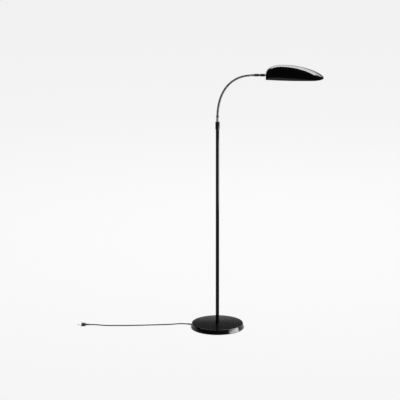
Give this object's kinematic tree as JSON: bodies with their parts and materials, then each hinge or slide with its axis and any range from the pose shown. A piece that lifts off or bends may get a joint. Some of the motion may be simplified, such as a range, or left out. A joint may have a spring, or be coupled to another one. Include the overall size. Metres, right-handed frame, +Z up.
{
  "type": "gooseneck reading floor lamp",
  "caption": "Reading floor lamp with a round weighted base, a thin straight pole, a flexible ribbed neck and a long downward-facing half-shell shade on a swivel.",
  "frame": {"origin": "on the floor, at the centre of the round base, below the pole's axis", "axes": "+Z up along the pole; +X the way the shade points; +Y to the left seen from behind the lamp looking along +X"},
  "size_m": [1.1297, 0.2456, 1.2526],
  "materials": {
    "base_enamel": "gloss",
    "pole_enamel": "gloss",
    "shade_enamel": "gloss",
    "neck_metal": "polished",
    "fitting_metal": "polished",
    "plated_steel": "satin",
    "ballast_iron": "matte",
    "felt": "matte",
    "black_plastic": "satin",
    "cord_sheath": "satin",
    "holder_plastic": "gloss",
    "white_ceramic": "satin",
    "contact_brass": "satin",
    "bulb_cap_metal": "satin",
    "opal_glass": "satin",
    "pin_metal": "polished"
  },
  "bodies": {
    "stand": {"base_cover": "base_enamel", "base_weight": "ballast_iron", "bottom_plate": "plated_steel", "felt_pad": "felt", "plate_screws": "plated_steel", "pole_stud": "plated_steel", "stud_washer": "plated_steel", "stud_nut": "plated_steel", "cord_grommet": "black_plastic", "inner_lead": "cord_sheath", "pole_foot_bush": "plated_steel", "pole_tube": "pole_enamel", "pole_top_bush": "plated_steel", "collar": "pole_enamel", "collar_grub_screw": "plated_steel", "neck_root_ferrule": "neck_metal", "neck_length_00": "neck_metal", "cord": "cord_sheath", "plug_body": "black_plastic", "plug_pins": "pin_metal"},
    "neck_01": {"neck_length_01": "neck_metal"},
    "neck_02": {"neck_length_02": "neck_metal"},
    "neck_03": {"neck_length_03": "neck_metal"},
    "neck_04": {"neck_length_04": "neck_metal"},
    "neck_05": {"neck_length_05": "neck_metal"},
    "neck_06": {"neck_length_06": "neck_metal"},
    "neck_07": {"neck_length_07": "neck_metal"},
    "neck_08": {"neck_length_08": "neck_metal"},
    "neck_09": {"neck_length_09": "neck_metal"},
    "neck_10": {"neck_length_10": "neck_metal"},
    "neck_11": {"neck_length_11": "neck_metal"},
    "neck_12": {"neck_length_12": "neck_metal", "neck_end_ferrule": "fitting_metal", "swivel_core": "plated_steel", "swivel_clip": "plated_steel"},
    "head": {"swivel_barrel": "fitting_metal", "head_nipple": "plated_steel", "shade_washer": "plated_steel", "shade_lock_nut": "plated_steel", "shade_shell": "shade_enamel", "holder_bracket": "plated_steel", "holder_nipple": "plated_steel", "holder_nut": "plated_steel", "holder_cap": "holder_plastic", "holder_sleeve": "holder_plastic", "holder_insert": "white_ceramic", "centre_contact": "contact_brass", "threaded_sleeve": "contact_brass", "bulb_cap": "bulb_cap_metal", "bulb_glass": "opal_glass"},
    "switch_dial": {"switch_shaft": "plated_steel", "switch_knob": "black_plastic"}
  },
  "joints": [
    {"name": "neck_bend_01", "type": "hinge", "parent": "stand", "child": "neck_01", "pos_m": [0.00044, 0, 1.02374], "axis": [0, 1, 0], "range_deg": [-15, 15]},
    {"name": "neck_sway_02", "type": "hinge", "parent": "neck_01", "child": "neck_02", "pos_m": [0.00253, 0, 1.04665], "axis": [0.989, 0, -0.1478], "range_deg": [-12, 12]},
    {"name": "neck_bend_03", "type": "hinge", "parent": "neck_02", "child": "neck_03", "pos_m": [0.00641, 0, 1.06931], "axis": [0, 1, 0], "range_deg": [-15, 15]},
    {"name": "neck_sway_04", "type": "hinge", "parent": "neck_03", "child": "neck_04", "pos_m": [0.01217, 0, 1.09158], "axis": [0.9483, 0, -0.3173], "range_deg": [-12, 12]},
    {"name": "neck_bend_05", "type": "hinge", "parent": "neck_04", "child": "neck_05", "pos_m": [0.02014, 0, 1.11315], "axis": [0, 1, 0], "range_deg": [-15, 15]},
    {"name": "neck_sway_06", "type": "hinge", "parent": "neck_05", "child": "neck_06", "pos_m": [0.03059, 0, 1.13363], "axis": [0.8434, 0, -0.5373], "range_deg": [-12, 12]},
    {"name": "neck_bend_07", "type": "hinge", "parent": "neck_06", "child": "neck_07", "pos_m": [0.04371, 0, 1.15251], "axis": [0, 1, 0], "range_deg": [-15, 15]},
    {"name": "neck_sway_08", "type": "hinge", "parent": "neck_07", "child": "neck_08", "pos_m": [0.05956, 0, 1.16916], "axis": [0.6361, 0, -0.7716], "range_deg": [-12, 12]},
    {"name": "neck_bend_09", "type": "hinge", "parent": "neck_08", "child": "neck_09", "pos_m": [0.07798, 0, 1.18293], "axis": [0, 1, 0], "range_deg": [-15, 15]},
    {"name": "neck_sway_10", "type": "hinge", "parent": "neck_09", "child": "neck_10", "pos_m": [0.09847, 0, 1.19333], "axis": [0.342, 0, -0.9397], "range_deg": [-12, 12]},
    {"name": "neck_bend_11", "type": "hinge", "parent": "neck_10", "child": "neck_11", "pos_m": [0.12038, 0, 1.20032], "axis": [0, 1, 0], "range_deg": [-15, 15]},
    {"name": "neck_sway_12", "type": "hinge", "parent": "neck_11", "child": "neck_12", "pos_m": [0.14305, 0, 1.20415], "axis": [0.0785, 0, -0.9969], "range_deg": [-12, 12]},
    {"name": "head_swivel", "type": "hinge", "parent": "neck_12", "child": "head", "pos_m": [0.2, 0, 1.20547], "axis": [1, 0, 0], "range_deg": [-165, 165]},
    {"name": "switch_turn", "type": "hinge", "parent": "head", "child": "switch_dial", "pos_m": [0.25466, 0, 1.22137], "axis": [0, 1, 0], "continuous": true}
  ]
}
